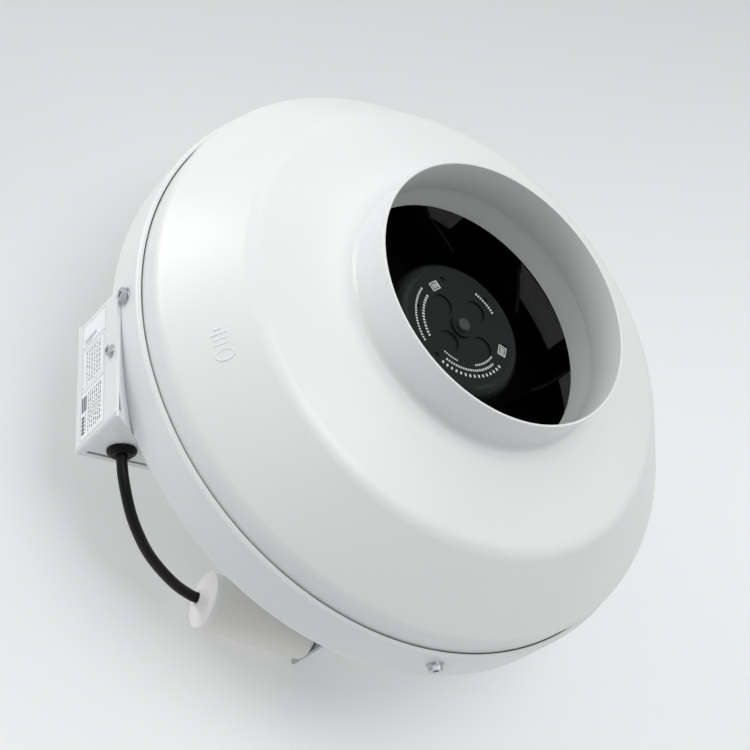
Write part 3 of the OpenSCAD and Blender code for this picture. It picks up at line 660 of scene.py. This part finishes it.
def makeLabel(values):
    width, height = values["right"] - values["left"], values["high"] - values["low"]
    first, second = (x - values["left"] for x in values["fields"])
    corner = Vector((values["left"], values["face"], values["low"]))
    along, up = Vector((1, 0, 0)), Vector((0, 0, 1))
    film = markPlate("ratingLabel", corner + Vector((0, values["film"], 0)), along, up,
                     [(0, width, 0, height)], values["film"])
    softenEdges(film, values["filmEdge"], 2)
    finishPiece(film, "casing", "labelFilm", ["rating_label"])
    chance = random.Random(values["seed"])

    def rows(left, right, low, high, pitch, line, gap):
        marks = []
        z = low
        while z + line < high:
            x = left
            while x < right:
                step = chance.uniform(*values["markWidths"])
                marks.append((x, min(x + step, right), z, z + line))
                x += step + gap
            z += pitch
        return marks

    margin, half = values["margin"], values["dividerHalf"]
    dark = outline(margin, width - margin, margin, height - margin, values["borderLine"])
    dark += [(x - half, x + half, margin, height - margin) for x in (first, second)]
    bars, blocks = values["bars"], values["blocks"]
    dark += [(second + bars["from"], second + bars["to"], z, z + bars["tall"]) for z in bars["at"]]
    for k in range(blocks["count"]):
        left = second + blocks["from"] + k * blocks["pitch"]
        dark.append((left, left + blocks["wide"], blocks["low"], blocks["high"]))
    left, low, right, upper, pitch, line, gap = values["fineRows"]
    dark += rows(second + left, width - right, low, height - upper, pitch, line, gap)
    short = values["shortRows"]
    dark += rows(second + short["left"], width - short["right"], short["low"], short["high"],
                 short["pitch"], short["line"], short["gap"])
    box, inside = values["frame"], values["frameRows"]
    pale = outline(first + box["side"], second - box["side"], box["end"], height - box["end"], box["line"])
    pale += rows(first + inside["side"], second - inside["side"], inside["low"], height - inside["end"],
                 inside["pitch"], inside["line"], inside["gap"])
    for before, after, tall, edges in values["columns"]:
        pale += [(first - before, first - after, z, z + tall) for z in edges]
    for name, marks, tone in (("labelPrint", dark, "printInk"), ("labelFaintPrint", pale, "paleInk")):
        piece = markPlate(name, corner, along, up, marks, values["ink"])
        finishPiece(piece, "casing", tone)


makeLabel(label)

# Rings of plain dashes printed on the rotor's face, and two block marks
rotorPrint = {
    "height": 160.2, "ink": 0.04,
    "rings": [  # radius, first and last azimuth, dashes, height of a dash, share filled
        (30.3, -126, -58, 22, 1.2, 0.6), (25.4, -124, -61, 15, 1.5, 0.55),
        (27.7, 122, 154, 9, 1.4, 0.6), (23.4, -36, -12, 7, 1.0, 0.6), (23.6, 16, 54, 11, 1.1, 0.6),
        (26.8, -29, 47, 22, 1.3, 0.62), (30.3, -33, 54, 15, 1.7, 0.4)],
    "blocks": [(-144, 26.8, 6.4), (73, 28.2, 6.6)],  # azimuth, radius, width
    "blockShape": 0.8, "blockLine": 0.55,
    "bars": {"from": 1.3, "wide": 0.7, "pitch": 1.25, "half": 0.45, "count": 4},
}


def makeRotorPrint(values):
    pieces = []
    face = Vector((0, 0, values["height"]))
    for radius, start, stop, count, tall, filled in values["rings"]:
        step = math.radians(stop - start) / count
        for k in range(count):
            turn = math.radians(start) + (k + 0.5) * step
            outward = Vector((math.cos(turn), math.sin(turn), 0))
            across = Vector((-math.sin(turn), math.cos(turn), 0))
            wide = radius * step * filled
            pieces.append((face + outward * radius, across, -outward, [(-wide / 2, wide / 2, -tall / 2, tall / 2)]))
    for azimuth, radius, wide in values["blocks"]:
        turn = math.radians(azimuth)
        outward = Vector((math.cos(turn), math.sin(turn), 0))
        across = Vector((-math.sin(turn), math.cos(turn), 0))
        half = wide / 2
        bars, tall = values["bars"], half * values["blockShape"]
        marks = outline(-half, half, -tall, tall, values["blockLine"])
        for k in range(bars["count"]):
            left = -half + bars["from"] + k * bars["pitch"]
            marks.append((left, left + bars["wide"], -half * bars["half"], half * bars["half"]))
        pieces.append((face + outward * radius, across, -outward, marks))
    made = []
    for k, (origin, across, up, marks) in enumerate(pieces):
        made.append(markPlate("mark" + str(k), origin, -across, up * -1, marks, values["ink"]))
    joined = joinPieces(made, "rotorPrint")
    finishPiece(joined, "rotor", "whiteInk")


makeRotorPrint(rotorPrint)

# A plain oval and four strokes raised on the slope of the inlet shell
emboss = {
    "radius": 150.3, "azimuth": -72.6, "crease": (134.5, 165.7), "shoulder": (169.8, 128.2),
    "tall": 0.35, "sunk": 0.1, "oval": 3.0, "ovalAt": 5.2, "ovalShape": (0.95, 1.6),
    "strokes": ((-0.6, 9.0), (-3.4, 7.4), (-6.2, 9.0), (-8.8, 4.4)),  # place and length
}


def makeEmboss(values):
    run = values["shoulder"][0] - values["crease"][0]
    drop = values["crease"][1] - values["shoulder"][1]
    height = values["crease"][1] - (values["radius"] - values["crease"][0]) * drop / run
    turn = math.radians(values["azimuth"])
    outward = Vector((math.cos(turn), math.sin(turn), 0))
    across = Vector((-math.sin(turn), math.cos(turn), 0))
    down = (outward * run - Vector((0, 0, drop))).normalized()
    normal = down.cross(across)
    if normal.z < 0:
        normal = -normal
    origin = outward * values["radius"] + Vector((0, 0, height))
    along, up = across, normal.cross(across)
    frameMatrix = Matrix((along, up, normal)).transposed().to_4x4()
    bpy.ops.mesh.primitive_torus_add(major_radius=values["oval"] * mm, minor_radius=values["tall"] * mm,
                                     major_segments=48, minor_segments=12)
    oval = bpy.context.object
    movePiece(oval, Matrix.Translation((values["ovalAt"] * mm, 0, 0)) @
              Matrix.Diagonal((*values["ovalShape"], 1, 1)))
    strokes = [oval]
    for place, length in values["strokes"]:
        bpy.ops.mesh.primitive_cylinder_add(radius=values["tall"] * mm, depth=length * mm, vertices=16,
                                            rotation=(math.pi / 2, 0, 0), location=(place * mm, 0, 0))
        strokes.append(bpy.context.object)
        softenEdges(bpy.context.object, values["tall"] * 0.8, 3)
    piece = joinPieces(strokes, "inletEmboss")
    movePiece(piece, Matrix.Identity(4))
    movePiece(piece, Matrix.Translation((origin - normal * values["sunk"]) * mm) @ frameMatrix)
    smoothFaces(piece, 50)
    finishPiece(piece, "casing", "whitePaint")


makeEmboss(emboss)
print("label, rotor print and emboss made")

# Finish of the cable, which takes the place of the model's cable

capacitorCable.data.materials.append(materials["cableSheath"])
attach(capacitorCable, "casing")
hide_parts("capacitor_cable")

# Floor, with painted shade and a painted glow, and lights

studio = {
    "floorTone": (0.66, 0.665, 0.67),
    # painted shade: the floor's darker tone on its -X side, for a falloff of light
    "floorPaintedShade": (0.31, 0.315, 0.32),
    # painted light: the floor glows though it is no lamp, and lights the object from below
    "paintedGlowTone": (1.0, 1.0, 1.0),
    "paintedGlow": 0.24,
    "skyTone": (0.97, 0.985, 1.0),
    "skyStrength": 0.384,
    "aim": (0, 0, 0.1),
    "away": 2.2,
    "lights": [  # name, azimuth, elevation, size, watts
        ("lowSoftbox", -125, 5, 1.4, 23.1),
        ("sideSoftbox", -110, 50, 1.4, 4.2),
        ("topSoftbox", 0, 90, 1.4, 18.8),
        ("backCard", 180, 45, 1.4, 5.0),
        ("fillCard", 90, 35, 1.4, 4.4),
    ],
}


def makeFloor(values):
    clearSelection()
    bpy.ops.mesh.primitive_plane_add(size=60, location=(0, 0, -0.0002))
    floor = bpy.context.object
    floor.name = "studioFloor"
    material = bpy.data.materials.new("floorPaper")
    material.use_nodes = True
    tree = material.node_tree
    shader = tree.nodes["Principled BSDF"]
    place = addNode(tree, "ShaderNodeTexCoord").outputs["Object"]
    parts = addNode(tree, "ShaderNodeSeparateXYZ", wires={0: place})
    # Painted shade: the floor blends to its darker tone towards -X
    along = mathNode(tree, "MULTIPLY", parts.outputs["X"], 1.0)
    across = mathNode(tree, "MULTIPLY", parts.outputs["Y"], 0.5)
    paintedShadeFade = addNode(tree, "ShaderNodeMapRange", {"From Min": -0.75, "From Max": 0.25},
                   {"Value": mathNode(tree, "ADD", along, across)}, interpolation_type="SMOOTHSTEP")
    tone = addNode(tree, "ShaderNodeTexNoise", {"Scale": 1.2, "Detail": 2.0}, {"Vector": place})
    paper = blendColours(tree, tone.outputs[0], values["floorTone"], tuple(c * 1.01 for c in values["floorTone"]))
    tree.links.new(blendColours(tree, paintedShadeFade.outputs[0], values["floorPaintedShade"], paper), shader.inputs["Base Color"])
    shader.inputs["Roughness"].default_value = 0.6
    # Painted light: the floor emits light here, though it is no lamp
    shader.inputs["Emission Color"].default_value = (*values["paintedGlowTone"], 1)
    shader.inputs["Emission Strength"].default_value = values["paintedGlow"]
    floor.data.materials.append(material)


def makeLights(values):
    aim = Vector(values["aim"])
    for name, azimuth, elevation, size, watts in values["lights"]:
        turn, rise = math.radians(azimuth), math.radians(elevation)
        outward = Vector((math.cos(turn) * math.cos(rise), math.sin(turn) * math.cos(rise), math.sin(rise)))
        bpy.ops.object.light_add(type="AREA", location=aim + outward * values["away"])
        light = bpy.context.object
        light.name = name
        light.data.shape = "DISK"
        light.data.size = size
        light.data.energy = watts
        light.rotation_euler = (-outward).to_track_quat("-Z", "Y").to_euler()
    world = bpy.data.worlds.new("softSky")
    scene.world = world
    world.use_nodes = True
    sky = world.node_tree.nodes["Background"]
    sky.inputs["Color"].default_value = (*values["skyTone"], 1)
    sky.inputs["Strength"].default_value = values["skyStrength"]


makeFloor(studio)
makeLights(studio)
scene.view_settings.view_transform = "Standard"
print("studio ready")
